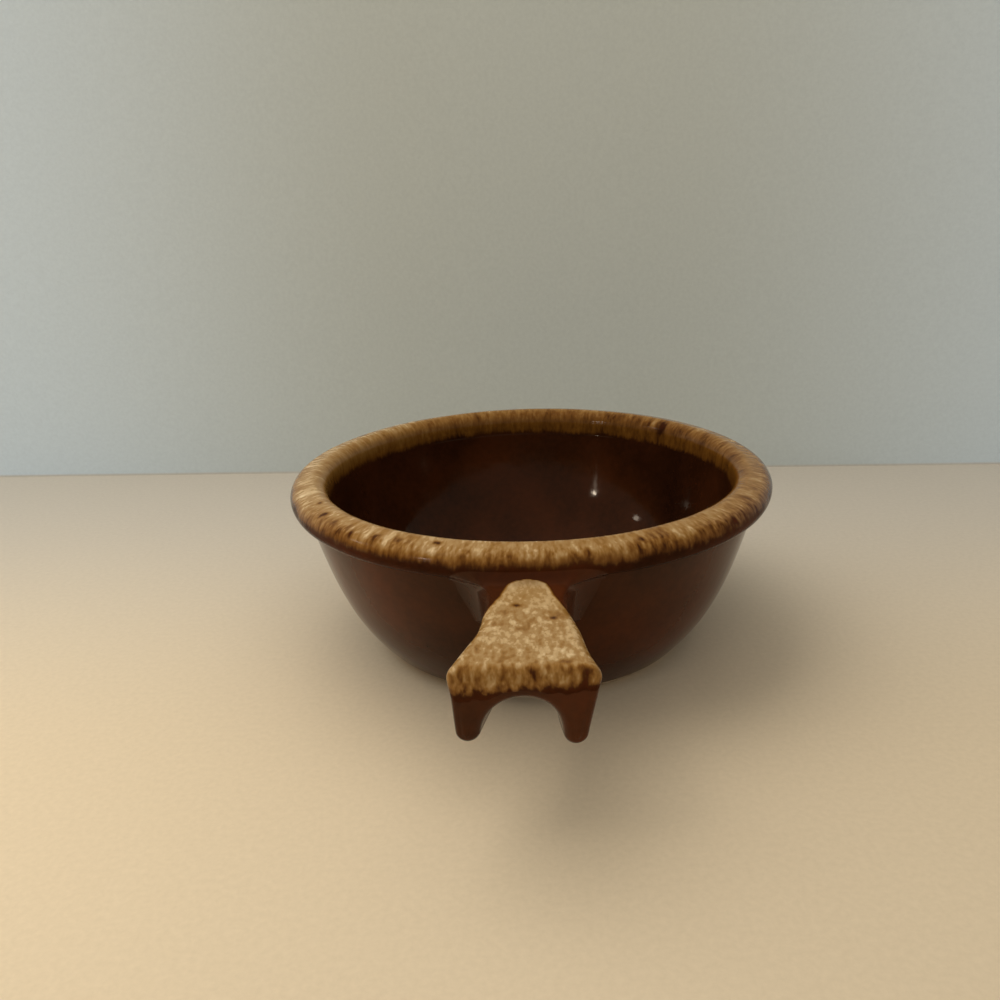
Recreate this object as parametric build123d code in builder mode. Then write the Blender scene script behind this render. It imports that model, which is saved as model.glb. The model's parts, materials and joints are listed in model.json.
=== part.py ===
from build123d import *
from math import cos, radians, sin
import os

os.makedirs("parts", exist_ok=True)

# Sizes in millimetres and angles in degrees. The bowl's axis is Z, its foot stands on z = 0 and the
# handle points along -Y.

# Bowl as seen, over its glaze
rim_radius = 63.5
bowl_height = 47.5
rim_roll_width = 10.0
rim_roll_thickness = 7.2
rim_roll_tilt = 12.5

# Thickness of the coats
wall_coat = 0.5
rim_coat = 0.8
handle_coat = 0.5
slip_coat = 0.4

# Clay wall: an outer curve from the foot into the roll and an inner curve from the floor into the roll.
# A pull is how far a curve keeps to the direction that it starts or ends with.
foot_radius = 39.9
foot_lean = 46.6
foot_pull = 13.2
neck_shift = 1.5
neck_lean = 14.0
neck_pull = 28.1
neck_thickness = 5.7
inner_lean = 7.9
inner_pull = 26.9
floor_radius = 26.0
floor_pull = 18.5
floor_height = 6.5

# Foot ring
foot_ring_width = 4.5
recess_depth = 1.5
dry_foot_height = 1.8
foot_round = 0.6

# Edges of the rim's drip glaze, below the top of the rim, and the corners where glaze gathers
drip_inside_drop = 7.0
drip_outside_drop = 6.3
crease_round = 1.6
bead_round = 2.5

# Handle as seen, over its glaze. Its outline goes through four sections: root, neck, middle and end.
handle_length = 36.5
handle_top_drop = 7.1
handle_end_width = 29.4
handle_end_height = 16.0
handle_end_leg = 4.7
handle_end_round = 1.6
handle_middle_width = 21.6
handle_neck_gap = 6.5
handle_neck_width = 17.8
handle_neck_leg = 3.2
handle_root_depth = 10.5
handle_root_width = 31.0
handle_root_height = 14.0
handle_root_rise = 4.0
handle_root_leg = 8.0
leg_lean = 0.11
leg_round = 0.42
shoulder_round = 3.0
channel_web = 6.2

# Edge of the handle's drip glaze, below the handle's top
drip_end_drop = 5.1
drip_root_drop = 1.4
drip_root_gap = 0.8

# Sizes that follow from those above
roll_half = (rim_roll_width - rim_roll_thickness) / 2
roll_radius = rim_radius - rim_roll_thickness / 2 - roll_half * cos(radians(rim_roll_tilt))
roll_height = bowl_height - rim_roll_thickness / 2 - roll_half * sin(radians(rim_roll_tilt))
neck_radius = roll_radius + neck_shift
inner_neck_radius = neck_radius - neck_thickness
handle_top = bowl_height - handle_top_drop
root_reach = rim_radius - handle_root_depth
neck_reach = rim_radius + handle_neck_gap
end_reach = rim_radius + handle_length
middle_reach = (neck_reach + end_reach) / 2
recess_radius = foot_radius - foot_ring_width
drip_inside = bowl_height - drip_inside_drop
drip_outside = bowl_height - drip_outside_drop
space = 3 * end_reach


def bowl_section(coat, roll_coat, hollow=True):
    """Half section of the bowl's clay, grown by one coat on the wall and another on the rolled rim.

    Without its hollow it is filled up to the top of the rim.
    """
    with BuildSketch() as section:
        with BuildLine():
            foot = Line((0, 0), (foot_radius + coat, 0))
            wall = Bezier(
                foot @ 1,
                foot @ 1 + Vector(foot_pull, 0).rotate(Axis.Z, foot_lean),
                Vector(neck_radius + coat, roll_height) - Vector(0, neck_pull).rotate(Axis.Z, -neck_lean),
                (neck_radius + coat, roll_height),
            )
            Polyline(wall @ 1, (0, roll_height), foot @ 0)
        make_face()
        if hollow:
            with BuildLine():
                floor = Line((0, floor_height + coat), (floor_radius, floor_height + coat))
                side = Bezier(
                    floor @ 1,
                    floor @ 1 + Vector(floor_pull - coat, 0),
                    Vector(inner_neck_radius - coat, roll_height) - Vector(0, inner_pull).rotate(Axis.Z, -inner_lean),
                    (inner_neck_radius - coat, roll_height),
                )
                Polyline(side @ 1, (0, roll_height), floor @ 0)
            make_face(mode=Mode.SUBTRACT)
        else:
            with Locations((0, roll_height)):
                Rectangle(roll_radius, bowl_height - roll_height, align=(Align.MIN, Align.MIN))
        with Locations((roll_radius, roll_height)):
            SlotOverall(
                rim_roll_width - 2 * rim_coat + 2 * roll_coat,
                rim_roll_thickness - 2 * rim_coat + 2 * roll_coat,
                rotation=-rim_roll_tilt,
            )
    return section.sketch


def glaze_section():
    """Half section of every coat on the bowl, thicker where glaze gathers beside the roll."""
    with BuildSketch() as glaze:
        add(bowl_section(wall_coat, rim_coat))
        crease = glaze.vertices().sort_by_distance((neck_radius, roll_height - rim_roll_thickness / 2))[0]
        fillet(crease, crease_round)
        bead = glaze.vertices().sort_by_distance((inner_neck_radius - wall_coat, roll_height))[0]
        fillet(bead, bead_round)
        add(bowl_section(0, 0), mode=Mode.SUBTRACT)
    return glaze.sketch


def handle_block(inset):
    """Handle lofted through its four sections, smaller all over by an inset."""
    depth = end_reach - root_reach
    stations = (
        (root_reach, handle_root_width, handle_root_leg, handle_root_rise),
        (neck_reach, handle_neck_width, handle_neck_leg, 0),
        (middle_reach, handle_middle_width, (handle_neck_leg + handle_end_leg) / 2, 0),
        (end_reach - inset, handle_end_width, handle_end_leg, 0),
    )
    with BuildPart() as block:
        for reach, width, leg, rise in stations:
            share = (reach - root_reach) / depth
            height = handle_root_height + (handle_end_height - handle_root_height) * share
            top = handle_top + rise - inset
            bottom = handle_top - height + inset
            half = width / 2 - inset
            half_foot = width / 2 * (1 - leg_lean) - inset
            channel = width / 2 * (1 - leg_lean) - leg + inset
            arch = handle_top - channel_web + inset
            tip = leg_round * (half_foot - channel)
            spring = bottom + 1.2 * tip
            crown = spring + (arch - spring) * 4 / 3
            with BuildSketch(Plane((0, -reach, 0), x_dir=(1, 0, 0), z_dir=(0, -1, 0))) as section:
                with BuildLine():
                    Polyline(
                        (-channel, spring),
                        (-channel, bottom),
                        (-half_foot, bottom),
                        (-half, top),
                        (half, top),
                        (half_foot, bottom),
                        (channel, bottom),
                        (channel, spring),
                    )
                    Bezier((channel, spring), (channel, crown), (-channel, crown), (-channel, spring))
                make_face()
                fillet(section.vertices().group_by(Axis.Y)[-1], shoulder_round - inset)
                fillet(section.vertices().group_by(Axis.Y)[0], tip)
        loft()
        end_face = block.faces().sort_by(Axis.Y)[0]
        fillet(end_face.edges(), handle_end_round - inset)
    return block.part


handle_coated = handle_block(0)
handle_clay = handle_block(handle_coat)

# The part of the handle's coat that the drip glaze covers, seen from the side
with BuildPart() as drip_zone:
    with BuildSketch(Plane.YZ):
        with BuildLine():
            Polyline(
                (-end_reach - handle_top, handle_top - drip_end_drop),
                (-end_reach, handle_top - drip_end_drop),
                (-rim_radius - drip_root_gap, handle_top - drip_root_drop),
                (-rim_radius - drip_root_gap, 2 * handle_top),
                (-end_reach - handle_top, 2 * handle_top),
                close=True,
            )
        make_face()
    extrude(amount=space, both=True)

# Fired clay of the bowl, with a shallow recess inside its foot ring
with BuildPart() as bowl_body:
    with BuildSketch(Plane.XZ) as section:
        add(bowl_section(0, 0))
        Rectangle(recess_radius, recess_depth, align=(Align.MIN, Align.MIN), mode=Mode.SUBTRACT)
        fillet(section.vertices().group_by(Axis.Y)[0], foot_round)
    revolve(axis=Axis.Z)

# Clay of the handle, its root hollowed to the wall with room for the slip
with BuildPart() as handle_body:
    add(handle_clay)
    with BuildSketch(Plane.XZ):
        add(bowl_section(slip_coat, slip_coat, hollow=False))
    revolve(axis=Axis.Z, mode=Mode.SUBTRACT)

# Slip between the handle's root and the wall
with BuildPart() as handle_slip:
    add(handle_clay)
    with BuildSketch(Plane.XZ):
        add(bowl_section(slip_coat, slip_coat, hollow=False))
    revolve(axis=Axis.Z, mode=Mode.INTERSECT)
    with BuildSketch(Plane.XZ):
        add(bowl_section(0, 0, hollow=False))
    revolve(axis=Axis.Z, mode=Mode.SUBTRACT)

# Brown liner glaze in the hollow, up to the edge of the drip glaze
with BuildPart() as inside_glaze:
    with BuildSketch(Plane.XZ):
        add(glaze_section())
        add(bowl_section(0, 0, hollow=False), mode=Mode.INTERSECT)
        Rectangle(space, drip_inside, align=(Align.CENTER, Align.MIN), mode=Mode.INTERSECT)
    revolve(axis=Axis.Z)

# Brown glaze on the outer wall, from the dry foot to the drip glaze and around the handle
with BuildPart() as outside_glaze:
    with BuildSketch(Plane.XZ):
        add(glaze_section())
        add(bowl_section(0, 0, hollow=False), mode=Mode.SUBTRACT)
        with Locations((0, dry_foot_height)):
            Rectangle(
                space,
                drip_outside - dry_foot_height,
                align=(Align.CENTER, Align.MIN),
                mode=Mode.INTERSECT,
            )
    revolve(axis=Axis.Z)
    add(handle_coated, mode=Mode.SUBTRACT)

# Tan drip glaze over the rolled rim
with BuildPart() as rim_glaze:
    with BuildSketch(Plane.XZ):
        add(glaze_section())
        Polygon(
            (0, drip_inside),
            (roll_radius, drip_inside),
            (roll_radius, drip_outside),
            (space, drip_outside),
            (space, space),
            (0, space),
            align=None,
            mode=Mode.INTERSECT,
        )
    revolve(axis=Axis.Z)
    add(handle_coated, mode=Mode.SUBTRACT)

# Brown glaze on the handle's flanks, legs, channel and root
with BuildPart() as handle_glaze:
    add(handle_coated)
    add(handle_clay, mode=Mode.SUBTRACT)
    with BuildSketch(Plane.XZ):
        add(bowl_section(0, 0, hollow=False))
    revolve(axis=Axis.Z, mode=Mode.SUBTRACT)
    add(drip_zone.part, mode=Mode.SUBTRACT)

# Tan drip glaze on the handle's top and the upper part of its end
with BuildPart() as handle_top_glaze:
    add(handle_coated)
    add(handle_clay, mode=Mode.SUBTRACT)
    add(drip_zone.part, mode=Mode.INTERSECT)

# Brown glaze on the roof of the foot recess
with BuildPart() as base_glaze:
    with BuildSketch(Plane.XZ):
        with Locations((0, recess_depth)):
            Rectangle(recess_radius, wall_coat, align=(Align.MIN, Align.MAX))
    revolve(axis=Axis.Z)

bowl_body.part.label = "bowl_body"
export_step(bowl_body.part, "parts/bowl_body.step")
handle_body.part.label = "handle_body"
export_step(handle_body.part, "parts/handle_body.step")
handle_slip.part.label = "handle_slip"
export_step(handle_slip.part, "parts/handle_slip.step")
inside_glaze.part.label = "inside_glaze"
export_step(inside_glaze.part, "parts/inside_glaze.step")
outside_glaze.part.label = "outside_glaze"
export_step(outside_glaze.part, "parts/outside_glaze.step")
rim_glaze.part.label = "rim_glaze"
export_step(rim_glaze.part, "parts/rim_glaze.step")
handle_glaze.part.label = "handle_glaze"
export_step(handle_glaze.part, "parts/handle_glaze.step")
handle_top_glaze.part.label = "handle_top_glaze"
export_step(handle_top_glaze.part, "parts/handle_top_glaze.step")
base_glaze.part.label = "base_glaze"
export_step(base_glaze.part, "parts/base_glaze.step")
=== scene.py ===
import json
import math

import bmesh
import bpy
import numpy as np
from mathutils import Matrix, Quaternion, Vector

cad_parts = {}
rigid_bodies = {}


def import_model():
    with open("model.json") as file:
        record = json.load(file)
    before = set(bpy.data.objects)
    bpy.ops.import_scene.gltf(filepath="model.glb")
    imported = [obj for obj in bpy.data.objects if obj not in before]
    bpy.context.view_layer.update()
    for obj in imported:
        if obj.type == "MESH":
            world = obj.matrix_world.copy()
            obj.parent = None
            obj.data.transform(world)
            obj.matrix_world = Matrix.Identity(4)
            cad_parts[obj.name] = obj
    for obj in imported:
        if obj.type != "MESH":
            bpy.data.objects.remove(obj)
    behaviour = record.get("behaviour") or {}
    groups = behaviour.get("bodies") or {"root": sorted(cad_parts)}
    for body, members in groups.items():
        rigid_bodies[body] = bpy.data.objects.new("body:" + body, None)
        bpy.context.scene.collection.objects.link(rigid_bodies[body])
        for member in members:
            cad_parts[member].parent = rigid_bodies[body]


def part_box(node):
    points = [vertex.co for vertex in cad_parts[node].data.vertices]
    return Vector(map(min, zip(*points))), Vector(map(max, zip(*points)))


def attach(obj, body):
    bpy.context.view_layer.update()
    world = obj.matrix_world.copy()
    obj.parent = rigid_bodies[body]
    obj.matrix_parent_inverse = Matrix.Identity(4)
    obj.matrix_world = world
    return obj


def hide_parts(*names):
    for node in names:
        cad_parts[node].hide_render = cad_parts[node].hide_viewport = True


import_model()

for stray in [o for o in bpy.data.objects if o.name in ("Cube", "Light", "Camera")]:
    bpy.data.objects.remove(stray)
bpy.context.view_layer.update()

# Sizes of the bowl, in millimetres and degrees, with every coat of glaze counted in
MM = 0.001
rim_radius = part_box("rim_glaze")[1].x / MM
bowl_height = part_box("rim_glaze")[1].z / MM
handle_reach = -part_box("handle_glaze")[0].y / MM
dry_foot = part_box("outside_glaze")[0].z / MM
recess_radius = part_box("base_glaze")[1].x / MM
recess_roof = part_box("base_glaze")[0].z / MM

roll_width = 10.0
roll_thickness = 7.2
roll_tilt = math.radians(12.5)
foot_radius = 40.4
foot_lean = math.radians(46.6)
foot_pull = 13.2
neck_shift = 2.0
neck_lean = math.radians(14.0)
neck_pull = 28.1
inner_shift = 4.7
inner_lean = math.radians(7.9)
inner_pull = 26.9
floor_radius = 26.0
floor_height = 7.0
floor_pull = 18.0
crease_soft = 0.2
inner_soft = 1.3
crown_blend = 8
coat = 0.5
rim_coat = 0.8
foot_soft = 0.6
clay_inset = 1.1 * coat
recess_lift = 0.7 * coat
relief_depth = 0.1
base_clearance = 0.15
base_wave = 0.12
base_crests = 9

# Heights above the table where the drip glaze ends on the bowl's profile
drip_inside_edge = 39.0
drip_outside_edge = 39.2

# Ends of the coats: how far each edge sinks, how long its ramp is, and how far it tucks under
edge_sink = 0.14
edge_ramp = 1.4
tuck = 2.5
foot_run = 0.5
foot_wander = 0.5
foot_fade = 8.0
foot_ramp = 1.0
foot_sink = 0.42
inner_wander = 0.7
outer_wander = 0.3
inner_settle = (4.0, 8.0)
outer_settle = (2.0, 7.0)

# Handle sections, at four places along its reach from the bowl's middle
section_reach = np.array([53.0, 70.0, 85.0, handle_reach])
section_half_top = np.array([9.8, 8.9, 10.9, 15.0])
section_leg = np.array([3.6, 3.2, 3.8, 4.6])
section_top = np.array([41.0, 40.4, 40.4, 40.4])
section_bottom = np.array([26.4, 25.7, 25.05, 24.5])
foot_share = 0.833
tip_share = 0.48
arch_top = 33.8
arch_pull = 0.82
shoulder_round = 3.0
end_round = 1.7
end_crown = 0.25
crown_power = 0.8

# How far each layer of the handle lies inside the CAD shape, and its share of the collar's flare
skin_inset = 0.16
slip_inset = 0.8
slip_flare = 0.6
clay_skin_inset = 1.2
clay_flare = 0.4

# The handle is a little uneven: its legs lean, one is longer, and its waist is off the middle
leg_skew = -0.7
leg_blend = 3.0
skew_start = 64.0
right_leg_drop = 0.6
right_leg_width = 6.0
waist_shift = 0.7
waist_reach = 83.0
waist_spread = 6.5

# The collar where the handle meets the bowl. Its sides spread from a share at one height to all
# at another, and its top lifts between two heights, less so at its corners
root_sink = 2.6
collar_sink = 0.16
collar_fill = 3.0
fill_heights = (8.0, 47.4)
fill_step = 0.1
collar_section = 66.0
flare_reach = 11.0
flare_sweep = 4.4
flare_round = 4.4
flare_heights = (25.0, 38.0)
flare_shares = (0.5, 1.0)
top_rise = 3.3
top_round = 3.6
lift_heights = (34.0, 39.6)
corner_drop = 0.15
channel_flare = 2.0

# The tongue of drip on the handle, which starts under the rim: half its width at each reach. Up
# the collar each millimetre of height counts as tongue_slope millimetres of reach
tongue_reach = np.array([61.2, 62.3, 63.7, 65.3, 69.4, 72.9, 76.2, 84.0, 100.0])
tongue_half = np.array([0.0, 2.8, 4.1, 4.8, 5.8, 7.2, 8.8, 14.0, 40.0])
tongue_slope = 2.2
tongue_middle = 0.2
tongue_edge = (-0.8, 1.0)

# The drip's lower edge on the handle: its depth under the top near the bowl and how much more it
# has at the end, its slope there, its waves (height, pace and start), and how soft it is below,
# above and on the end's face
drip_start = 60.0
drip_depth = 1.6
drip_more = 3.4
edge_slope = 0.085
edge_waves = [(0.25, 1.3, 0.6), (0.12, 2.9, 2.0)]
side_wave = (0.2, 0.9)
edge_below = 0.9
edge_above = 1.5
edge_on_face = 1.6
face_start = 2.2
face_end = 0.8

# How far the handle's drip stands up at its edge and where it is thick, and sinks past its edge
edge_rise = 0.33
thick_rise = 0.09
full_rise = 0.9
drip_sink = 0.3
drip_under = 0.45

# How thick the rim's drip lies at each place along the profile, from inside the bowl over the
# crown, which is at 0
rim_place = np.array([
    -10.5, -9.5, -8.5, -7.5, -6.0, -4.0, -2.0, 0.0, 3.0, 4.5, 5.8, 6.8, 7.6, 8.6, 9.8, 13.0])
rim_amount = np.array([
    -0.2, 0.0, 0.15, 0.27, 0.34, 0.38, 0.46, 0.61, 0.6, 0.5, 0.38, 0.26, 0.12, -0.04, -0.18, -0.3])

# How much lower the rim's drip value is at its right side, as painted shade, and at its back, where
# it is thick enough
right_side_shade = 0.12
back_change = 0.09
change_span = (0.15, 0.45)

# How uneven the rim's drip is, and each change of that: how much, from which place to which
rim_mottle = 0.3
mottle_changes = [(0.35, -6.0, 0.0), (0.35, 1.5, 3.5), (-0.55, 4.5, 7.5)]

# Where the brown under the rim's drip takes the liner's darker browns as painted shade: inside from
# the crown, and a share of them below, painted shade in the crease under the roll
lining_inside = (2.0, 6.0)
lining_below = (6.5, 8.5)
lining_share = 0.45

# How thick and how uneven the handle's drip is along the top, near the bowl and on the end's face
handle_thick = 0.85
root_thicker = 0.09
face_thinner = 0.19
thick_span = (66.0, 80.0)
bare_value = -0.2
edge_thin = 0.15
handle_mottle = 0.9
face_mottle = 0.2
root_mottle = 0.4
mottle_span = (66.0, 84.0)
edge_mottle = 0.4
edge_mottle_span = (0.3, 0.9)
# Painted shade on the end's face: how much of the liner's darker browns its right side takes below
# the drip, across which span and over which span of the drip's amount
face_lining = 0.8
face_lining_across = (-2.0, 7.0)
face_lining_span = (0.2, 0.7)

# How much the drip's pattern is squeezed along the flow, so that it draws out into streaks: the
# rim's streaks and specks, then along the handle's top and down its end
flow_stretch = 0.36
grain_stretch = 0.6
handle_stretch = 0.5
face_stretch = 0.55

# Marks in the rim's drip: degrees round from the handle, place along the profile, width, length
# and how much thinner the drip is there
rim_marks = [
    (-60, 0.9, 0.7, 0.7, 0.6), (-53, 2.7, 0.9, 1.1, 0.6), (-44, 5.6, 0.8, 1.2, 0.35),
    (-40, 4.7, 0.7, 1.2, 0.35), (-34, 3.6, 0.7, 1.4, 0.35), (-28, 2.8, 0.9, 1.1, 0.6),
    (-19, 1.8, 1.1, 0.7, 0.65), (-47, 3.8, 0.7, 1.4, 0.3), (-8, 3.4, 1.2, 1.6, 0.2),
    # The marks at 137 and 122 degrees, of negative strength, paint paler drip as painted highlights
    # on the back of the rim.
    (133, -3.0, 1.6, 3.0, 0.35), (137, -2.6, 0.6, 1.8, -0.45), (122, 1.0, 5.0, 2.5, -0.16),
    (49, 6.0, 1.6, 1.2, 0.3), (60, 2.3, 1.3, 1.5, 0.25), (24, 3.0, 0.9, 0.9, 0.3)]

# Marks in the handle's drip: across, reach, width, length and how much thinner the drip is there
handle_marks = [
    (-1.7, 73.9, 0.9, 0.8, 0.6), (5.5, 79.6, 1.0, 0.8, 0.5), (-4.8, 82.3, 1.4, 0.9, 0.35),
    (7.3, 97.4, 0.9, 0.9, 0.4), (-0.7, 84.2, 1.2, 0.8, 0.25)]

# Counts of points and rows
turns = 480
profile_points = 300
roll_points = 240
clay_rows = 180
face_rows = 160
rim_rows = 150
back_rows = 40
base_rows = 40
foot_points = 8
flat_points = 22
shoulder_points = 14
side_points = 22
tip_points = 15
arch_points = 56
inner_tip_points = 16
near_rows = 32
far_rows = 70
end_rows = 12
cap_rows = 16
fit_rounds = 14
drip_first_row = 4
drip_columns = 48

random = np.random.default_rng(seed=11)


# Meshes

def grid_faces(rows, columns, close_rows=False, close_columns=False):
    """Quads of a grid of points numbered row by row: each joins a point, the next in its row and
    the two below them."""
    i = np.arange(rows if close_rows else rows - 1)[:, None]
    j = np.arange(columns if close_columns else columns - 1)[None, :]
    down = (i + 1) % rows
    side = (j + 1) % columns
    corners = [i * columns + j, i * columns + side, down * columns + side, down * columns + j]
    return np.stack(np.broadcast_arrays(*corners), -1).reshape(-1, 4)


def make_piece(name, grids, node, slot, material, **values):
    """Joins grids of points, in millimetres, into one closed mesh: each grid is its points, then
    whether its rows and its columns close on themselves. Shared edges are merged and faces turned
    outwards. The values are point attributes, one number or one vector for each point, in the
    grids' order."""
    points = np.concatenate([grid.reshape(-1, 3) for grid, _, _ in grids]) * MM
    faces = []
    start = 0
    for grid, close_rows, close_columns in grids:
        faces.append(start + grid_faces(*grid.shape[:2], close_rows, close_columns))
        start += grid.shape[0] * grid.shape[1]
    mesh = bpy.data.meshes.new(name)
    mesh.from_pydata(points.tolist(), [], np.concatenate(faces).tolist())
    for key, value in values.items():
        flat = np.concatenate([np.asarray(v).reshape(-1) for v in value]).astype(np.float32)
        wide = flat.size == points.size
        layer = mesh.attributes.new(key, "FLOAT_VECTOR" if wide else "FLOAT", "POINT")
        layer.data.foreach_set("vector" if wide else "value", flat)
    shell = bmesh.new()
    shell.from_mesh(mesh)
    bmesh.ops.remove_doubles(shell, verts=shell.verts, dist=1e-7)
    bmesh.ops.dissolve_degenerate(shell, edges=shell.edges, dist=1e-8)
    bmesh.ops.recalc_face_normals(shell, faces=shell.faces)
    shell.to_mesh(mesh)
    shell.free()
    mesh.shade_smooth()
    mesh.materials.append(material)
    piece = bpy.data.objects.new(name, mesh)
    bpy.context.scene.collection.objects.link(piece)
    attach(piece, "root")
    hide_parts(node)
    return piece


def smooth_step(value, low, high):
    """0 below low, 1 above high, and an even S between them."""
    share = np.clip((value - low) / (high - low), 0, 1)
    return share * share * (3 - 2 * share)


# The bowl's profile, as one line from the middle of its floor, over the rim and down to its foot

def cubic(start, start_pull, end_pull, end):
    """Points of the cubic curve that leaves start towards start_pull and comes to end from
    end_pull."""
    t = np.linspace(0, 1, profile_points)[:, None]
    weights = [(1 - t) ** 3, 3 * t * (1 - t) ** 2, 3 * t * t * (1 - t), t ** 3]
    pulls = (start, start_pull, end_pull, end)
    return sum(weight * np.array(pull) for weight, pull in zip(weights, pulls))


def soften(line, spread):
    """The line with each point moved to the bell-weighted mean of its neighbours, up to four
    spreads away, its two ends kept."""
    reach = int(4 * spread) + 1
    offsets = np.arange(-reach, reach + 1)
    bell = np.exp(-0.5 * (offsets / spread) ** 2)
    bell /= bell.sum()
    padded = np.pad(line, ((reach, reach), (0, 0)), mode="reflect", reflect_type="odd")
    return np.stack([np.convolve(padded[:, axis], bell, mode="valid") for axis in (0, 1)], 1)


def evenly(line, step):
    """The line's points again, spaced step apart along its length."""
    along = np.concatenate([[0], np.cumsum(np.linalg.norm(np.diff(line, axis=0), axis=1))])
    places = np.linspace(0, along[-1], int(along[-1] / step) + 1)
    return np.stack([np.interp(places, along, line[:, axis]) for axis in (0, 1)], 1)


def bowl_line(step=0.2):
    """Radius and height along the glazed profile: a flat floor, a cubic up the inside, the roll of
    the rim, which is a slot leaning outwards, and a cubic down the outside. The creases at the roll
    are softened, more so inside."""
    half = (roll_width - roll_thickness) / 2
    reach = roll_thickness / 2
    lean = np.array([math.cos(roll_tilt), -math.sin(roll_tilt)])
    middle = np.array([rim_radius - reach - half * lean[0], bowl_height - reach + half * lean[1]])
    ends = [middle - half * lean, middle + half * lean]

    def clear_of_roll(line):
        """The line's points that lie further than the roll's radius from its middle line."""
        along = np.clip((line - ends[0]) @ lean, 0, 2 * half)
        away = np.linalg.norm(line - ends[0] - along[:, None] * lean, axis=1)
        return line[away > reach]

    floor = np.array([[0, floor_height]])
    inner_top = middle - [inner_shift, 0]
    inside = clear_of_roll(cubic(
        (floor_radius, floor_height),
        (floor_radius + floor_pull, floor_height),
        inner_top - inner_pull * np.array([math.sin(inner_lean), math.cos(inner_lean)]),
        inner_top))
    outer_top = middle + [neck_shift, 0]
    outside = clear_of_roll(cubic(
        outer_top,
        outer_top - neck_pull * np.array([math.sin(neck_lean), math.cos(neck_lean)]),
        (foot_radius + foot_pull * math.cos(foot_lean), foot_pull * math.sin(foot_lean)),
        (foot_radius, 0)))
    first = inside[-1] - ends[0]
    last = outside[0] - ends[1]
    first_bearing = math.atan2(first[1], first[0]) % (2 * math.pi)
    bearing = np.linspace(first_bearing, math.atan2(last[1], last[0]), roll_points)
    spokes = np.stack([np.cos(bearing), np.sin(bearing)], 1)
    over = np.where((spokes @ lean)[:, None] < 0, ends[0], ends[1]) + reach * spokes
    line = evenly(np.concatenate([floor, inside, over, outside]), step)
    from_crown = np.arange(len(line)) - line[:, 1].argmax()
    past_crown = smooth_step(from_crown, -crown_blend, crown_blend)[:, None]
    soft_inside = soften(line, inner_soft / step)
    soft_outside = soften(line, crease_soft / step)
    return soft_inside * (1 - past_crown) + soft_outside * past_crown


line = bowl_line()
line_step = np.gradient(line, axis=0)
line_step /= np.linalg.norm(line_step, axis=1)[:, None]
line_normal = np.stack([-line_step[:, 1], line_step[:, 0]], 1)
line_place = np.concatenate([[0], np.cumsum(np.linalg.norm(np.diff(line, axis=0), axis=1))])
rim_top = line[:, 1].argmax()
line_place -= line_place[rim_top]


def place_inside(height):
    """How far along the profile its inside stands at that height, less than 0 because it comes
    before the rim."""
    return np.interp(height, line[:rim_top, 1], line_place[:rim_top])


def place_outside(height):
    """How far along the profile its outside stands at that height."""
    return np.interp(-height, -line[rim_top:, 1], line_place[rim_top:])


def moved_profile(place, lift):
    """Radius, never less than 0, and height of the profile's point at each place along it, moved
    out by lift along its normal."""
    radius, height = (
        np.interp(place, line_place, line[:, axis])
        + lift * np.interp(place, line_place, line_normal[:, axis])
        for axis in (0, 1))
    return np.maximum(radius, 0), height


turn = np.linspace(0, 2 * math.pi, turns, endpoint=False)[None, :]


def carried_round(radius, height):
    """Points at each radius and height, carried round the axis by each turn, which starts at the
    handle."""
    return np.stack(np.broadcast_arrays(
        radius * np.sin(turn), -radius * np.cos(turn), height), -1)


def on_bowl(place, lift):
    """Points on the bowl: the profile's point at each place, moved out by lift, carried round."""
    return carried_round(*moved_profile(place, lift))


def waves(counts, twist=0.0):
    """Seeded waves round the axis: each has its count of crests, a starting angle and a slide along
    the profile."""
    return [(n, random.uniform(0, 2 * math.pi), random.uniform(-twist, twist)) for n in counts]


def ripple(place, parts):
    """The sum of the waves, each smaller the more crests it has, scaled to lie between -1 and 1."""
    total = sum(
        np.cos(n * turn + start + slide * place) / math.sqrt(n) for n, start, slide in parts)
    return total / sum(1 / math.sqrt(n) for n, _, _ in parts)


hand_made = waves((2, 3, 5, 8, 13, 21), twist=0.12)


def relief(place):
    """How far the fired surface lies under the true profile: from none to twice the relief's depth,
    in broad soft waves that die away in the middle of the floor."""
    fade = smooth_step(place, line_place[0], line_place[0] + floor_radius)
    return relief_depth * fade * ripple(place, hand_made) - relief_depth


def coat_rows(first, last, count, back_lift=-coat):
    """Places and lifts of a coat's rows: along its face from first to last, where the lift is 0,
    then back underneath it."""
    share = np.linspace(0, 1, count)[:, None]
    under = np.linspace(1, 0, back_rows)[:, None]
    place = np.concatenate([first + (last - first) * share, first + (last - first) * under])
    return place, np.concatenate([np.zeros((count, 1)), np.full((back_rows, 1), back_lift)])


# Materials

def srgb(red, green, blue):
    """A colour given as 0 to 255 on a screen, as the linear light that shaders take."""
    share = np.array([red, green, blue]) / 255
    linear = np.where(share <= 0.04045, share / 12.92, ((share + 0.055) / 1.055) ** 2.4)
    return (*linear.tolist(), 1.0)


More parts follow.
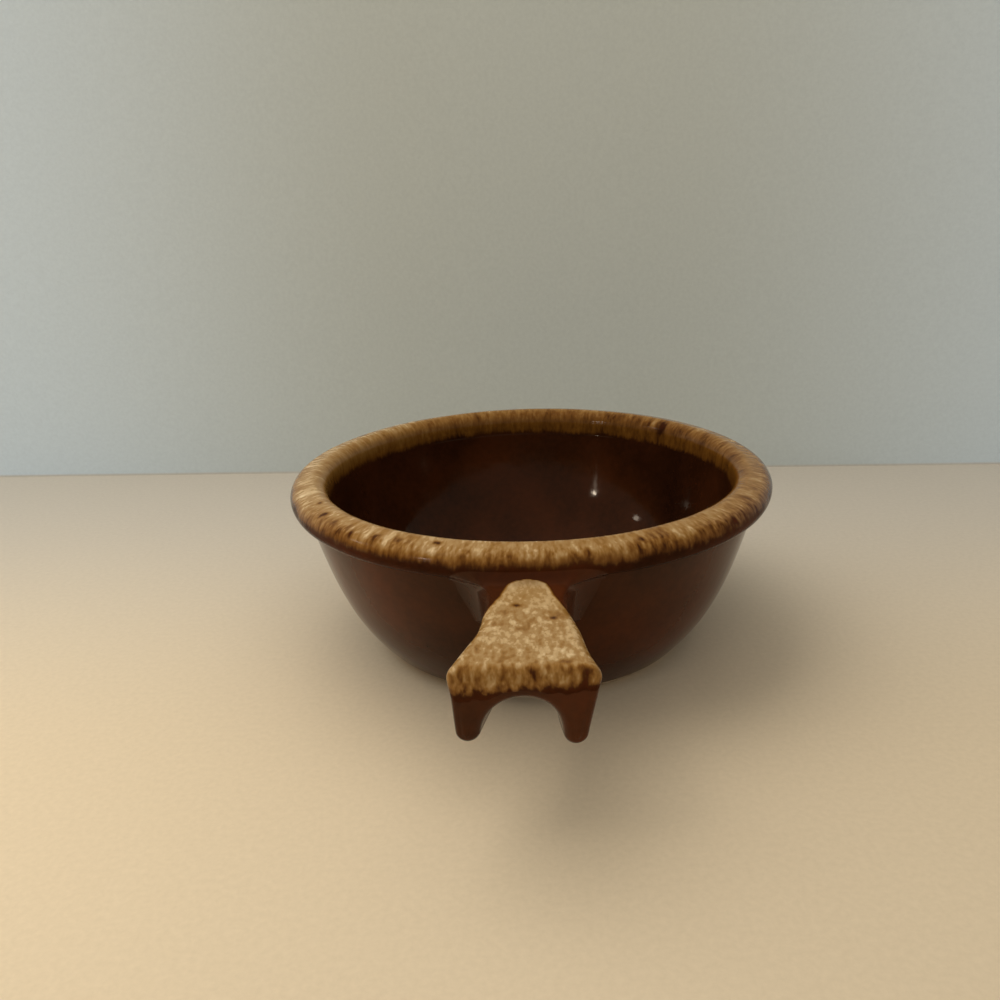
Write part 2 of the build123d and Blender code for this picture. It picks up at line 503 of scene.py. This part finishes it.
class Finish:
    """A material under construction: each method adds one node and gives back its output."""

    def __init__(self, name):
        self.material = bpy.data.materials.new(name)
        self.material.use_nodes = True
        self.tree = self.material.node_tree
        self.shader = self.tree.nodes["Principled BSDF"]

    def add(self, kind, inputs, output=0, **settings):
        made = self.tree.nodes.new(kind)
        for key, value in settings.items():
            setattr(made, key, value)
        for key, value in inputs.items():
            self.fill(made.inputs[key], value)
        return made.outputs[output]

    def fill(self, socket, value):
        if isinstance(value, bpy.types.NodeSocket):
            self.tree.links.new(value, socket)
        else:
            socket.default_value = value

    def set(self, **inputs):
        for key, value in inputs.items():
            self.fill(self.shader.inputs[key.replace("_", " ")], value)

    def space(self):
        return self.add("ShaderNodeTexCoord", {}, "Object")

    def value(self, name):
        return self.add("ShaderNodeAttribute", {}, "Fac", attribute_name=name)

    def vector(self, name):
        return self.add("ShaderNodeAttribute", {}, "Vector", attribute_name=name)

    def noise(self, vector, scale, detail=3.0, rough=0.55, bend=0.0):
        return self.add("ShaderNodeTexNoise", {
            "Vector": vector, "Scale": scale, "Detail": detail, "Roughness": rough,
            "Distortion": bend})

    def sum(self, first, second, weight=1.0):
        return self.add(
            "ShaderNodeMath", {0: second, 1: weight, 2: first}, operation="MULTIPLY_ADD")

    def less(self, value, mean=0.5):
        return self.sum(-mean, value)

    def product(self, first, second):
        return self.add("ShaderNodeMath", {0: first, 1: second}, operation="MULTIPLY")

    def span(self, value, low, high, to_low=0.0, to_high=1.0):
        return self.add("ShaderNodeMapRange", {
            "Value": value, "From Min": low, "From Max": high, "To Min": to_low, "To Max": to_high},
            interpolation_type="SMOOTHSTEP")

    def blend(self, share, first, second):
        return self.add("ShaderNodeMix", {0: share, 6: first, 7: second}, 2, data_type="RGBA")

    def ramp(self, value, stops):
        made = self.tree.nodes.new("ShaderNodeValToRGB")
        self.fill(made.inputs[0], value)
        band = made.color_ramp
        for number, (place, colour) in enumerate(stops):
            stop = band.elements[number] if number < 2 else band.elements.new(place)
            stop.position = place
            stop.color = srgb(*colour)
        return made.outputs[0]

    def bump(self, height, distance):
        return self.add(
            "ShaderNodeBump", {"Height": height, "Distance": distance * MM, "Strength": 1.0})


# Browns of the glaze: the wall's, and the liner's, which are the same glaze painted darker as shade
# inside the bowl.
wall_browns = [(46, 24, 11), (62, 31, 14), (72, 35, 15), (86, 40, 17)]
shaded_liner_browns = [(32, 14, 5), (47, 22, 8), (57, 27, 10), (70, 33, 13)]
brown_places = (0.26, 0.46, 0.58, 0.78)
warm_shine = (1.0, 0.86, 0.68, 1.0)


def brown_colour(finish, browns):
    """Brown glaze: broad redder and darker clouds, and fine darker grain."""
    space = finish.space()
    clouds = finish.noise(space, scale=34, detail=3, rough=0.5, bend=0.2)
    grain = finish.noise(space, scale=520, detail=3, rough=0.6)
    depth = finish.sum(clouds, finish.less(grain), weight=0.3)
    return finish.ramp(depth, zip(brown_places, browns))


def brown_glaze(name, browns, peel_scale, rough_low, rough_high, shine):
    """A glossy brown glaze with a faint orange-peel surface."""
    finish = Finish(name)
    space = finish.space()
    peel = finish.noise(space, peel_scale, detail=2, rough=0.5)
    worn = finish.noise(space, scale=90)
    finish.set(
        Base_Color=brown_colour(finish, browns),
        Roughness=finish.span(worn, 0.3, 0.7, rough_low, rough_high),
        Normal=finish.bump(peel, 0.04),
        Specular_IOR_Level=shine,
        Specular_Tint=warm_shine)
    return finish.material


def drip_glaze():
    """The drip glaze: brown where it runs thin, then ochre, tan and cream where it lies thick. Its
    thickness varies by streaks and broad lumps drawn out along the flow, and by specks and pale
    flecks about a millimetre across."""
    finish = Finish("drip_glaze")
    flow = finish.vector("flow")
    grain = finish.vector("grain")
    streaks = finish.noise(flow, scale=0.85, detail=2, rough=0.5, bend=0.2)
    lumps = finish.noise(flow, scale=0.24, detail=2, rough=0.5)
    specks = finish.noise(grain, scale=0.9, detail=1.5, rough=0.5)
    flecks = finish.span(finish.noise(grain, scale=1.1, detail=1, rough=0.5), 0.5, 0.75)
    uneven = finish.sum(finish.less(streaks), finish.less(lumps))
    uneven = finish.sum(uneven, finish.less(specks), weight=0.5)
    uneven = finish.sum(uneven, finish.less(flecks, mean=0.2), weight=0.15)
    mottled = finish.product(uneven, finish.value("mottle"))
    depth = finish.sum(finish.value("drip"), mottled, weight=0.85)
    colour = finish.ramp(depth, [
        (0.0, (46, 26, 11)), (0.15, (80, 46, 14)), (0.32, (118, 75, 25)), (0.5, (146, 104, 48)),
        (0.68, (168, 132, 82)), (0.85, (196, 164, 116)), (1.0, (224, 199, 158))])
    # Where the drip runs thin it shows brown: the wall's browns, blended by lining towards the
    # liner's darker browns, which are painted shade.
    brown = finish.blend(
        finish.value("lining"),
        brown_colour(finish, wall_browns),
        brown_colour(finish, shaded_liner_browns))
    finish.set(
        Base_Color=finish.blend(finish.span(depth, 0.0, 0.2), brown, colour),
        Roughness=finish.span(depth, 0.2, 0.8, 0.12, 0.28),
        Normal=finish.bump(finish.sum(streaks, specks, weight=0.5), 0.05),
        Specular_IOR_Level=finish.span(depth, 0.0, 0.4, 0.02, 0.22))
    return finish.material


def fired_clay():
    """Bare buff stoneware with fine sandy grain and a few iron specks."""
    finish = Finish("fired_clay")
    grain = finish.noise(finish.space(), scale=900, detail=4, rough=0.7)
    finish.set(
        Base_Color=finish.ramp(grain, [
            (0.3, (150, 122, 92)), (0.5, (196, 174, 142)), (0.72, (214, 196, 168))]),
        Roughness=0.85,
        Normal=finish.bump(grain, 0.08))
    return finish.material


def joining_slip():
    """The paler, smoother slip that joins the handle to the bowl."""
    finish = Finish("joining_slip")
    grain = finish.noise(finish.space(), scale=400, detail=3, rough=0.6)
    finish.set(
        Base_Color=finish.ramp(grain, [(0.3, (170, 142, 108)), (0.7, (204, 182, 150))]),
        Roughness=0.8,
        Normal=finish.bump(grain, 0.04))
    return finish.material


clay = fired_clay()
slip = joining_slip()
brown = brown_glaze(
    "brown_glaze", wall_browns, peel_scale=210, rough_low=0.09, rough_high=0.16, shine=0.15)
# The liner is the brown glaze in darker browns: painted shade inside the bowl.
liner = brown_glaze(
    "brown_liner", shaded_liner_browns, peel_scale=180, rough_low=0.06, rough_high=0.12, shine=0.25)
drip = drip_glaze()


# The bowl's pieces

inside_edge = place_inside(drip_inside_edge)
outside_edge = place_outside(drip_outside_edge)
floor_middle = line_place[0]
foot_edge = place_outside(dry_foot)


def clay_bowl():
    """Fired clay under the coats: the profile moved in by a little more than the coat, closed by a
    foot ring with rounded edges round a shallow recess."""
    place = np.linspace(floor_middle, place_outside(foot_soft), clay_rows)
    wall = np.stack(moved_profile(place, -clay_inset), 1)
    ring_out = foot_radius - coat
    ring_in = recess_radius
    quarter = np.linspace(0, math.pi / 2, foot_points)
    outer_edge = np.stack([
        ring_out - foot_soft + foot_soft * np.cos(quarter),
        foot_soft - foot_soft * np.sin(quarter)], 1)
    inner_edge = np.stack([
        ring_in + foot_soft - foot_soft * np.sin(quarter),
        foot_soft - foot_soft * np.cos(quarter)], 1)
    roof = np.array([[ring_in, recess_roof + recess_lift], [0, recess_roof + recess_lift]])
    section = np.concatenate([wall, outer_edge, inner_edge, roof])
    points = carried_round(section[:, :1], section[:, 1:])
    return make_piece("clay_bowl", [(points, False, True)], "bowl_body", "clay", clay)


def inside_coat():
    """The liner: the profile's face from the middle of the floor to just past the drip's edge,
    where it dives under the drip."""
    dive_start = inside_edge + edge_ramp
    place, lift = coat_rows(floor_middle, dive_start + tuck, face_rows)
    dive = -coat * smooth_step(place, dive_start, dive_start + tuck)
    points = on_bowl(place, np.where(lift >= 0, dive + relief(place), -2 * coat))
    return make_piece("inside_coat", [(points, False, True)], "inside_glaze", "brown_liner", liner)


def outside_coat():
    """The wall's coat: the profile's face from under the rim's drip down to the dry foot, where it
    ends in a soft uneven line."""
    wander = foot_wander * ripple(0.0, waves((2, 3, 5, 7, 11)))
    foot_end = foot_edge + foot_run
    place, lift = coat_rows(outside_edge - edge_ramp - tuck, foot_end, face_rows)
    place = place + smooth_step(place, foot_edge - foot_fade, foot_edge) * wander
    dive = -coat * smooth_step(-place, edge_ramp - outside_edge, edge_ramp + tuck - outside_edge)
    dive = dive - foot_sink * smooth_step(place, foot_end - foot_ramp, foot_end + wander)
    points = on_bowl(place, np.where(lift >= 0, dive + relief(place), -2 * coat))
    return make_piece("outside_coat", [(points, True, True)], "outside_glaze", "brown_glaze", brown)


def rim_mark(place, centre_turn, centre_place, width, length, strength):
    """A soft oval mark on the rim: a bell round the axis and another along the profile."""
    away = (turn - math.radians(centre_turn) + math.pi) % (2 * math.pi) - math.pi
    across = away * rim_radius / width
    return strength * np.exp(-across ** 2 - ((place - centre_place) / length) ** 2)


def rim_drip():
    """The drip over the rim: the profile's face from inside the bowl over the roll to its
    underside, with an uneven edge that sinks into the brown. Its drip value is high on the crown
    and none at the edges, lower towards the right side as painted shade, with a few dark marks
    where the drip ran thin and two pale ones that are painted highlights. Its lining value is
    the share of the liner's darker browns in the brown under it, painted shade inside the bowl and
    in the crease under the roll, and flow and grain are where its pattern is looked up."""
    outer_runs = ripple(0.0, waves((5, 9, 14, 23, 37, 51, 68, 90)))
    inner_runs = inner_wander * ripple(0.0, waves((4, 7, 13, 19, 29, 47)))
    first = inside_edge + inner_runs
    last = outside_edge + outer_wander * outer_runs
    place, lift = coat_rows(first, last, rim_rows, -rim_coat)
    from_end = np.minimum(place - first, last - place)
    sink = -edge_sink * (1 - smooth_step(from_end, 0, edge_ramp))
    points = on_bowl(place, np.where(lift >= 0, sink + relief(place), lift - 0.5 * coat))
    settled = place - np.where(
        place > 0,
        outer_runs * smooth_step(place, *outer_settle),
        inner_runs * smooth_step(-place, *inner_settle))
    amount = np.interp(settled, rim_place, rim_amount)
    # Painted shade: the drip is browner towards the right side; it is also browner at the back.
    around = right_side_shade * np.sin(turn) + back_change * np.maximum(-np.cos(turn), 0) ** 2
    amount = amount - around * smooth_step(amount, *change_span)
    for mark in rim_marks:
        amount = amount - rim_mark(place, *mark)
    mottle = np.full_like(amount, rim_mottle)
    for change, low, high in mottle_changes:
        mottle = mottle + change * smooth_step(place, low, high)
    # Painted shade: the liner's darker browns inside the bowl and in the crease under the roll.
    lining = smooth_step(-place, *lining_inside) + lining_share * smooth_step(place, *lining_below)
    flow, grain = (carried_round(rim_radius, place * s) for s in (flow_stretch, grain_stretch))
    return make_piece(
        "rim_drip", [(points, True, True)], "rim_glaze", "drip_glaze", drip,
        drip=[amount], flow=[flow], grain=[grain], mottle=[mottle], lining=[lining])


def base_coat():
    """The glaze on the roof of the foot recess: a thin disc, hollowed by a soft uneven wave."""
    out = np.linspace(0, 1, base_rows)
    share = np.concatenate([out, out[::-1]])[:, None]
    under = np.arange(2 * base_rows)[:, None] < base_rows
    uneven = base_wave * np.cos(share * base_crests) * share * (1 - share)
    height = np.where(under, recess_roof + uneven, recess_roof + coat)
    points = carried_round(share * (recess_radius - base_clearance), height)
    return make_piece("base_coat", [(points, False, True)], "base_glaze", "brown_glaze", brown)


clay_bowl()
inside_coat()
outside_coat()
rim_drip()
base_coat()


# The handle's pieces

def through(values, reach):
    """The cubic through the four sections' values."""
    return np.polyval(np.polyfit(section_reach, values, 3), reach)


def corner(start, point, end, count):
    """A rounded corner: the conic from start to end drawn towards the corner's point, a quarter
    circle where the corner is square."""
    t = np.linspace(0, 1, count)[:, None, None]
    weights = ((1 - t) ** 2, math.sqrt(2) * t * (1 - t), t * t)
    return sum(w * p for w, p in zip(weights, (start, point, end))) / sum(weights)


def half_section(reach):
    """Half of the handle's section at each reach, as its outer line from the middle of the top down
    to the leg's tip and its channel line from the crown of the arch down to the same tip: a flat
    top, a round shoulder, a leaning side, a rounded tip, and a channel whose arch is a cubic."""
    top, bottom = through(section_top, reach), through(section_bottom, reach)
    half, leg = through(section_half_top, reach), through(section_leg, reach)
    foot = foot_share * half
    hollow = foot - leg
    tip = tip_share * leg
    spring = bottom + tip

    def at(across, height):
        """The point this far across at this height."""
        return np.stack(np.broadcast_arrays(across, height), -1)

    def side(share):
        """The point this share of the way down the leaning side."""
        return at(half + (foot - half) * share, top + (bottom - top) * share)

    def run(start, end, count):
        """Evenly spaced points from start up to just before end."""
        t =np.linspace(0, 1, count, endpoint=False)[:, None, None]
        return start + (end - start) * t

    drop = shoulder_round / (top - bottom)
    rise = tip / (top - bottom)
    shoulder = at(half - shoulder_round, top)
    tip_middle = at(foot - leg / 2, bottom)
    outer = np.concatenate([
        run(at(0 * half, top), shoulder, flat_points),
        corner(shoulder, at(half, top), side(drop), shoulder_points)[:-1],
        run(side(drop), side(1 - rise), side_points),
        corner(side(1 - rise), at(foot, bottom), tip_middle, tip_points)])
    t = np.linspace(0.5, 0, arch_points, endpoint=False)[:, None]
    pull = 3 * arch_pull
    arch = at(
        hollow * ((1 - t) ** 3 + pull * t * (1 - t) ** 2 - pull * t * t * (1 - t) - t ** 3),
        spring + 4 * (arch_top - spring) * t * (1 - t))
    inner_tip = corner(at(hollow, spring), at(hollow, bottom), tip_middle, inner_tip_points)
    return outer, np.concatenate([arch, inner_tip])


def full_section(reach):
    """The closed section at each reach: down the right half's outer line, back up its channel, down
    the left half's channel and back up its outer line. Also gives its outward normals."""
    outer, channel = half_section(reach)
    flip = np.array([-1, 1])
    loop = np.concatenate([outer, channel[-2::-1], flip * channel[1:], flip * outer[-2:0:-1]])
    step = np.roll(loop, -1, 0) - np.roll(loop, 1, 0)
    step /= np.linalg.norm(step, axis=-1, keepdims=True)
    return loop, np.stack([-step[..., 1], step[..., 0]], -1)


def own_section(reach):
    """The section's points and normals where column by column each point has its own reach."""
    columns = np.tile(np.arange(reach.shape[1]), len(reach))
    rows = np.arange(reach.size)
    shape = (*reach.shape, 2)
    loop, normal = full_section(reach.reshape(-1))
    return loop[columns, rows].reshape(shape), normal[columns, rows].reshape(shape)


def filled_profile(level):
    """The bowl's outside radius at each level, with the crease under the roll filled as by a ball
    rolled along it: the profile is moved out by the ball's radius and back in again."""
    def dome(away):
        """How high the ball stands this far from its middle."""
        return np.sqrt(np.maximum(collar_fill ** 2 - away ** 2, 0))

    outer_radius, outer_height = line[rim_top:].T
    away = level[:, None] - outer_height
    moved_out = np.where(np.abs(away) < collar_fill, outer_radius + dome(away), -np.inf).max(1)
    away = level[:, None] - level
    return np.where(np.abs(away) < collar_fill, moved_out - dome(away), np.inf).min(1)


fill_level = np.arange(*fill_heights, fill_step)
fill_radius = filled_profile(fill_level)


def flare_curves(gap):
    """How far the collar has spread where its gap from the bowl is this: sideways a parabola and
    then a quarter circle that meets the wall flat, upwards a quarter ellipse."""
    def quarter(radius):
        """From 0 at a gap of this radius to 1 at no gap, along a quarter circle."""
        share = np.clip(1 - gap / radius, 0, 1)
        return 1 - np.sqrt(1 - share * share)

    swept = flare_sweep * np.clip(1 - gap / flare_reach, 0, 1) ** 2
    return swept + flare_round * quarter(flare_round), top_rise * quarter(top_round)


def handle_skin(inset, flare=1.0):
    """The handle's skin, moved in by inset. Each point of the section runs from inside the bowl's
    wall, out along the collar's flare, and on to the end, where the section is drawn in round the
    end's edges. The flare widens the outer line sideways, less so lower down, lifts its top and
    narrows the channel. Where each point meets the wall is found by stepping its reach until it
    settles. Gives the tube, the face at its end, the cap inside the wall and the numbers of the
    outer line's columns from left to right."""
    loop, normal = full_section(np.array([collar_section]))
    count = len(loop)
    half = (count + 4) // 4
    number = np.arange(count)
    outside = (number < half) | (number >= 3 * half - 2)
    x, z = loop[:, 0, 0], loop[:, 0, 1]
    aside = x / np.abs(x).max() * np.interp(z, flare_heights, flare_shares)
    lift = smooth_step(z, *lift_heights) * (1 - corner_drop * aside ** 2)
    angle = np.linspace(math.pi / 2, 0, near_rows)[:, None]
    gap = np.where(outside, flare_reach, channel_flare) * (1 - np.sin(angle))
    side_curve, top_curve = flare_curves(gap)
    arc = channel_flare * (1 - np.cos(angle))
    move = flare * np.stack([
        np.where(outside, aside * side_curve, normal[:, 0, 0] * arc),
        np.where(outside, lift * top_curve, normal[:, 0, 1] * arc)], -1)
    gap = np.concatenate([np.full((1, count), -root_sink), gap - collar_sink])
    move = np.concatenate([move[:1], move])
    near = np.full(gap.shape, rim_radius)
    for _ in range(fit_rounds):
        spot = own_section(near)[0] + move
        radius = np.interp(spot[..., 1], fill_level, fill_radius) + gap
        near = np.sqrt(np.maximum(radius ** 2 - spot[..., 0] ** 2, 1))
    last = handle_reach - inset - end_crown
    share = np.linspace(0, 1, far_rows)[1:, None]
    far = near[-1] + (last - end_round - near[-1]) * share
    quarter = np.linspace(0, math.pi / 2, end_rows)[1:, None]
    end = np.broadcast_to(last - end_round + end_round * np.sin(quarter), (len(quarter), count))
    reach = np.concatenate([near, far, end])
    drawn = np.full(reach.shape, inset)
    drawn[-len(end):] += end_round * (1 - np.cos(quarter))
    loop, normal = own_section(reach)
    spot = loop - drawn[..., None] * normal
    spot[:len(move)] += move
    low = 1 - smooth_step(spot[..., 1], through(section_bottom, reach), arch_top + leg_blend)
    outward = smooth_step(reach, skew_start, handle_reach)
    spot[..., 0] += leg_skew * low * outward
    spot[..., 0] += waist_shift * np.exp(-((reach - waist_reach) / waist_spread) ** 2)
    right_leg = low ** 2 * smooth_step(spot[..., 0], 0.0, right_leg_width) * outward
    spot[..., 1] -= right_leg_drop * right_leg
    tube = np.stack([spot[..., 0], -reach, spot[..., 1]], -1)
    right = np.arange(half)
    outer = np.concatenate([(-right[:0:-1]) % count, right])
    inner_right = 2 * half - 2 - right
    inner = np.concatenate([4 * half - 4 - inner_right[:0:-1], inner_right])
    w = np.linspace(0, 1, cap_rows)[:, None, None]
    cap = tube[-1][outer] * (1 - w) + tube[-1][inner] * w
    cap[..., 1] -= end_crown * np.sin(math.pi * w[..., 0]) ** crown_power
    root = tube[0][outer] * (1 - w) + tube[0][inner] * w
    return tube, cap, root, outer


def handle_part(name, inset, flare, node, slot, material):
    """A whole closed layer of the handle."""
    tube, cap, root, _ = handle_skin(inset, flare)
    grids = [(tube, False, True), (cap, False, False), (root, False, False)]
    return make_piece(name, grids, node, slot, material)


def handle_drip():
    """The drip on the handle: the top, the shoulders and the upper end of the handle's skin, raised
    a little where the drip is thick and sunk into the brown past its edges. It starts as a tongue
    under the rim, and reaches further down the sides towards the end. Its amount goes from none
    past the edges to all inside them, face is 1 on the end, and its values are those of the rim's
    drip."""
    tube, cap, _, outer = handle_skin(skin_inset)
    keep = np.abs(np.arange(len(outer)) - len(outer) // 2) < drip_columns
    sheet = np.concatenate([tube[drip_first_row:, outer[keep]], cap[1:-1, keep]])
    normal = np.cross(np.gradient(sheet, axis=0), np.gradient(sheet, axis=1))
    normal /= np.linalg.norm(normal, axis=-1, keepdims=True)
    x, y, z = np.moveaxis(sheet, -1, 0)
    reach = -y
    top = through(section_top, reach)
    face = smooth_step(reach, handle_reach - face_start, handle_reach - face_end)

    share = np.clip((reach - drip_start) / (handle_reach - drip_start), 0, 1)
    wobble = sum(height * np.sin(x * pace + start) for height, pace, start in edge_waves)
    wobble = wobble + side_wave[0] * np.sin(reach * side_wave[1])
    low = top - (drip_depth + drip_more * share ** 1.5) - face + wobble
    low = low + edge_slope * x * share ** 3
    deep = smooth_step(z, low - edge_below, low + edge_above + edge_on_face * face)
    onward = reach - tongue_slope * np.maximum(z - top, 0)
    inward = np.interp(onward, tongue_reach, tongue_half) - np.abs(x - tongue_middle)
    inward = np.minimum(inward, onward - tongue_reach[0])
    amount = deep * smooth_step(inward, *tongue_edge)

    rise = edge_rise * smooth_step(amount, 0.0, edge_thin)
    rise = rise + thick_rise * smooth_step(amount, edge_thin, full_rise)
    lifted = sheet + normal * (rise - drip_sink)[..., None]
    under = sheet - normal * drip_under
    loop = np.concatenate([lifted, under[::-1]])

    flow = np.stack([x, handle_stretch * reach, face_stretch * z], -1)
    thick = handle_thick + root_thicker * (1 - smooth_step(reach, *thick_span))
    thick = thick - face_thinner * face
    for across, out, width, length, strength in handle_marks:
        mark = np.exp(-((x - across) / width) ** 2 - ((reach - out) / length) ** 2)
        thick = thick - strength * mark
    fade = (1 - face) * smooth_step(amount, edge_thin, 1.0)
    fade = fade + face * np.clip((amount - edge_thin) / (1 - edge_thin), 0, 1)
    value = bare_value + thick * fade
    mottle = handle_mottle + face_mottle * face
    mottle = mottle - root_mottle * (1 - smooth_step(reach, *mottle_span))
    mottle = mottle * (edge_mottle + (1 - edge_mottle) * smooth_step(amount, *edge_mottle_span))
    # Painted shade: the liner's darker browns on the right of the end's face, below the drip.
    lining = face_lining * face * smooth_step(x, *face_lining_across)
    lining = lining * (1 - smooth_step(amount, *face_lining_span))
    values = {"drip": value, "flow": flow, "grain": flow, "mottle": mottle, "lining": lining}
    return make_piece(
        "handle_drip", [(loop, True, False)], "handle_top_glaze", "drip_glaze", drip,
        **{key: [above, above[::-1]] for key, above in values.items()})


handle_part("handle_clay", clay_skin_inset, clay_flare, "handle_body", "clay", clay)
handle_part("handle_slip_layer", slip_inset, slip_flare, "handle_slip", "slip", slip)
handle_part("handle_coat", skin_inset, 1.0, "handle_glaze", "brown_glaze", brown)
handle_drip()


# Floor and backdrop

cove_back = 140.0
cove_bend = 0.5
cove_height = 300.0
cove_front = -900.0
cove_side = 1100.0
cove_askew = 0.024
cove_points = 24
paper_grain = 6


def studio_cove():
    """A sheet that is a flat floor, a quarter circle and an upright backdrop, carried sideways a
    little askew. Its floor is warmer near the camera, its backdrop is darker in the middle as
    painted shadow and lighter and bluer to the sides, and a camera behind it sees through it."""
    quarter = np.linspace(0, math.pi / 2, cove_points)
    bend = np.stack([
        cove_back - cove_bend + cove_bend * np.sin(quarter),
        cove_bend - cove_bend * np.cos(quarter)], 1)
    profile = np.concatenate([[[cove_front, 0]], bend, [[cove_back, cove_height]]])
    x = np.array([-cove_side, cove_side])[None, :]
    y = profile[:, :1] - cove_askew * x
    points = np.stack(np.broadcast_arrays(x, y, profile[:, 1:]), -1)
    faces = grid_faces(*points.shape[:2])
    mesh = bpy.data.meshes.new("studio_cove")
    mesh.from_pydata((points.reshape(-1, 3) * MM).tolist(), [], faces.tolist())
    mesh.shade_smooth()
    finish = Finish("studio_paper")
    space = finish.space()
    grain = finish.noise(space, scale=700, detail=3, rough=0.6)
    across, depth, height = (
        finish.add("ShaderNodeSeparateXYZ", {"Vector": space}, axis) for axis in "XYZ")

    def paper(*colour):
        """The colour, a little lighter where the grain is high."""
        return finish.ramp(grain, [(0.3, colour), (0.7, [part + paper_grain for part in colour])])

    near, far = paper(213, 193, 160), paper(205, 195, 178)
    # The backdrop's middle is darker than its sides: painted shadow.
    middle, outer = paper(205, 210, 202), paper(224, 238, 246)
    aside = finish.add("ShaderNodeMath", {0: across}, operation="ABSOLUTE")
    floor = finish.blend(finish.span(depth, -0.08, 0.12), near, far)
    wall = finish.blend(finish.span(aside, 0.04, 0.24), middle, outer)
    finish.set(
        Base_Color=finish.blend(finish.span(height, 0.0, 0.0015), floor, wall), Roughness=0.9)
    clear = finish.tree.nodes.new("ShaderNodeBsdfTransparent")
    behind = finish.product(
        finish.add("ShaderNodeNewGeometry", {}, "Backfacing"),
        finish.add("ShaderNodeLightPath", {}, "Is Camera Ray"))
    mixed = finish.tree.nodes.new("ShaderNodeMixShader")
    finish.fill(mixed.inputs[0], behind)
    finish.fill(mixed.inputs[1], finish.shader.outputs[0])
    finish.fill(mixed.inputs[2], clear.outputs[0])
    finish.fill(finish.tree.nodes["Material Output"].inputs["Surface"], mixed.outputs[0])
    mesh.materials.append(finish.material)
    cove = bpy.data.objects.new("studio_cove", mesh)
    bpy.context.scene.collection.objects.link(cove)


studio_cove()


# Light

lamp_aim = (0, -20, 25)
pool_aim = (-190, -130, 0)
warm = (1.0, 0.93, 0.83)
plain = (1.0, 0.97, 0.93)


def lamp(name, place, width, height, power, mirrored=False, colour=plain, lean=0.0,
         aim=lamp_aim, spread=180.0):
    """A flat lamp at a place, in millimetres, turned to its aim, leant by an angle in its own plane
    and with its beam held within its spread. Only a mirrored one shows in the glaze."""
    data = bpy.data.lights.new(name, "AREA")
    data.shape = "RECTANGLE"
    data.size = width * MM
    data.size_y = height * MM
    data.energy = power
    data.color = colour
    data.spread = math.radians(spread)
    made = bpy.data.objects.new(name, data)
    bpy.context.scene.collection.objects.link(made)
    made.location = Vector(place) * MM
    made.rotation_mode = "QUATERNION"
    facing = (Vector(aim) - Vector(place)).to_track_quat("-Z", "Y")
    made.rotation_quaternion = facing @ Quaternion((0, 0, 1), math.radians(lean))
    made.visible_camera = False
    made.visible_glossy = mirrored


lamp("key_lamp", (-430, 170, 780), 900, 900, power=4.6)
lamp("top_lamp", (-80, 0, 900), 1200, 1200, power=3.0)
lamp("pool_lamp", (-330, -230, 480), 150, 150, power=0.07, colour=warm, aim=pool_aim, spread=45.0)
lamp("fill_lamp", (300, -700, 700), 800, 800, power=1.2)
lamp("window_spark", (-571, -560, 332), 26, 26, power=0.16, mirrored=True)
lamp("window_strip", (-485, -495, 165), 8, 270, power=0.07, mirrored=True, lean=10.0)
lamp("side_spark", (-766, -69, 421), 64, 64, power=0.12, mirrored=True)

world = bpy.data.worlds.new("studio")
bpy.context.scene.world = world
world.use_nodes = True
sky = world.node_tree.nodes["Background"]
sky.inputs["Color"].default_value = (1.0, 0.97, 0.92, 1.0)
sky.inputs["Strength"].default_value = 0.24

# Camera, where the photograph was taken from

camera_place = Vector((4.9, -256.4, 127.4))
camera_aim = Vector((-8.15, 0.0, 36.8))
camera_roll = math.radians(-2.05)
camera_data = bpy.data.cameras.new("camera")
camera_data.sensor_width = 36.0
camera_data.lens = 36.0
camera_data.clip_start = 0.01
camera = bpy.data.objects.new("camera", camera_data)
bpy.context.scene.collection.objects.link(camera)
camera.location = camera_place * MM
camera.rotation_mode = "QUATERNION"
sight = (camera_aim - camera_place).to_track_quat("-Z", "Y")
camera.rotation_quaternion = sight @ Quaternion((0, 0, 1), camera_roll)
bpy.context.scene.camera = camera
bpy.context.scene.view_settings.view_transform = "Standard"
